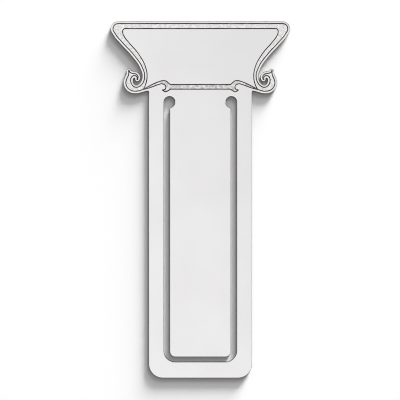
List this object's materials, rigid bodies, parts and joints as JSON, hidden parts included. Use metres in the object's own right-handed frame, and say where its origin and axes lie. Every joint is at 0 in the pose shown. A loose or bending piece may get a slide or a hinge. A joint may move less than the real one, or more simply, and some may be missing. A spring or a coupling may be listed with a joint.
{
  "type": "bookmark",
  "caption": "Flat stamped-metal page-clip bookmark shaped as a classical column, with a scrolled capital, a dark engraved border and a springy tongue cut from the shaft.",
  "frame": {"origin": "centre of the sheet's outline, on the back face that the part lies on", "axes": "+X across the column, to the right seen from the front; +Y along the column, towards the capital; +Z out of the front face"},
  "size_m": [0.0512, 0.1016, 0.0008],
  "materials": {
    "silver_plate": "polished silver plate on stamped brass sheet",
    "line_enamel": "dark satin enamel, wiped into the engraved lines"
  },
  "bodies": {
    "column": {"column_plate": "silver_plate", "outer_line_fill": "line_enamel", "inner_line_fill": "line_enamel"},
    "tongue": {"spring_tongue": "silver_plate"}
  },
  "joints": [
    {"name": "tongue_flex", "type": "hinge", "parent": "column", "child": "tongue", "pos_m": [0, 0.0278, 0.0004], "axis": [-1, 0, 0], "range_deg": [0, 10], "stiffness_Nm_per_rad": 3.2}
  ]
}
